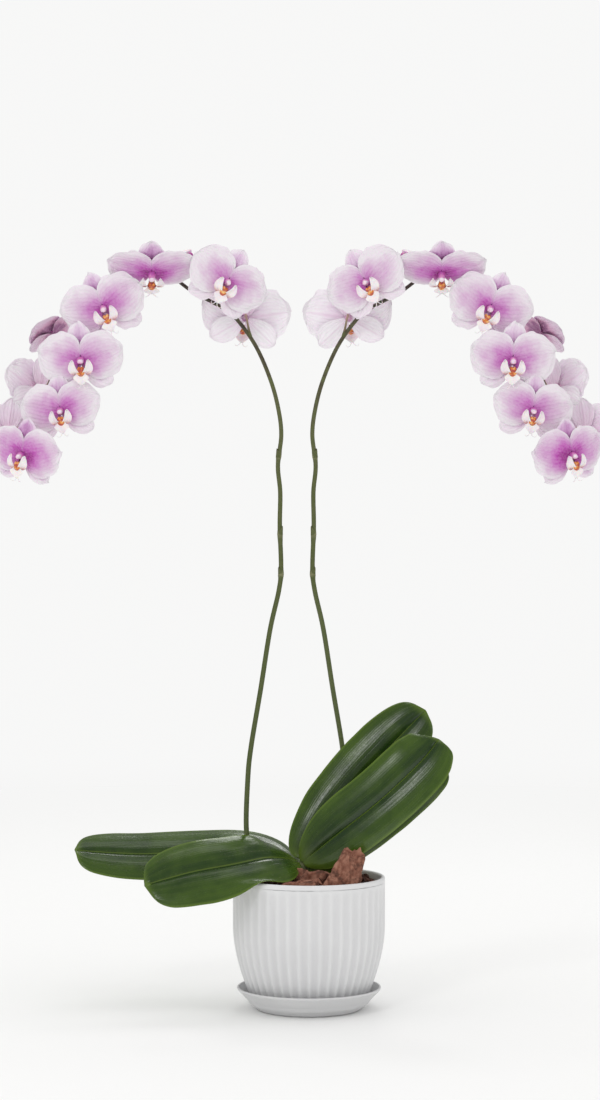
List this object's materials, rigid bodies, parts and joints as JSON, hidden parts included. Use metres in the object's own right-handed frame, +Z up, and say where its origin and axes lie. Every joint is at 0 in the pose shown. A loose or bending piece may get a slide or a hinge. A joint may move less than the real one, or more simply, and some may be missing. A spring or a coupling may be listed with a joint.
{
  "type": "potted orchid",
  "caption": "Potted moth orchid with arching flower spikes over strap leaves, in a fluted ceramic pot on a saucer.",
  "frame": {"origin": "centre of the saucer's flat underside, on the surface the pot stands on", "axes": "+Z up through the pot, +X to the right of a person facing the front, -Y towards that person"},
  "size_m": [0.6224, 0.1503, 0.7224],
  "materials": {
    "saucer_glaze": "satin light grey glaze",
    "pot_glaze": "satin light grey glaze",
    "bark_bed": "damp fine bark, matt",
    "bark": "rough red-brown bark, matt",
    "stem": "smooth olive green stem, satin",
    "leaf": "waxy dark green, glossy",
    "young_leaf": "waxy yellow green, satin",
    "petal": "soft lilac petal, matt sheen",
    "sepal": "soft pale lilac sepal, matt sheen"
  },
  "bodies": {
    "root": {"saucer": "saucer_glaze", "pot": "pot_glaze", "potting_mix": "bark_bed", "bark_chunk_1": "bark", "bark_chunk_2": "bark", "bark_chunk_3": "bark", "bark_chunk_4": "bark", "crown": "stem", "leaf_left_back": "leaf", "leaf_left_front": "leaf", "leaf_right_front": "leaf", "leaf_right_back": "leaf", "leaf_right_under": "leaf", "leaf_young": "young_leaf", "spike_left": "stem", "spike_right": "stem", "flower_left_01_petals": "petal", "flower_left_01_sepals": "sepal", "flower_left_02_petals": "petal", "flower_left_02_sepals": "sepal", "flower_left_03_petals": "petal", "flower_left_03_sepals": "sepal", "flower_left_04_petals": "petal", "flower_left_04_sepals": "sepal", "flower_left_05_petals": "petal", "flower_left_05_sepals": "sepal", "flower_left_06_petals": "petal", "flower_left_06_sepals": "sepal", "flower_left_07_petals": "petal", "flower_left_07_sepals": "sepal", "flower_left_08_petals": "petal", "flower_left_08_sepals": "sepal", "flower_left_09_petals": "petal", "flower_left_09_sepals": "sepal", "flower_left_10_petals": "petal", "flower_left_10_sepals": "sepal", "flower_left_11_petals": "petal", "flower_left_11_sepals": "sepal", "flower_right_01_petals": "petal", "flower_right_01_sepals": "sepal", "flower_right_02_petals": "petal", "flower_right_02_sepals": "sepal", "flower_right_03_petals": "petal", "flower_right_03_sepals": "sepal", "flower_right_04_petals": "petal", "flower_right_04_sepals": "sepal", "flower_right_05_petals": "petal", "flower_right_05_sepals": "sepal", "flower_right_06_petals": "petal", "flower_right_06_sepals": "sepal", "flower_right_07_petals": "petal", "flower_right_07_sepals": "sepal", "flower_right_08_petals": "petal", "flower_right_08_sepals": "sepal", "flower_right_09_petals": "petal", "flower_right_09_sepals": "sepal", "flower_right_10_petals": "petal", "flower_right_10_sepals": "sepal", "flower_right_11_petals": "petal", "flower_right_11_sepals": "sepal"}
  },
  "joints": []
}
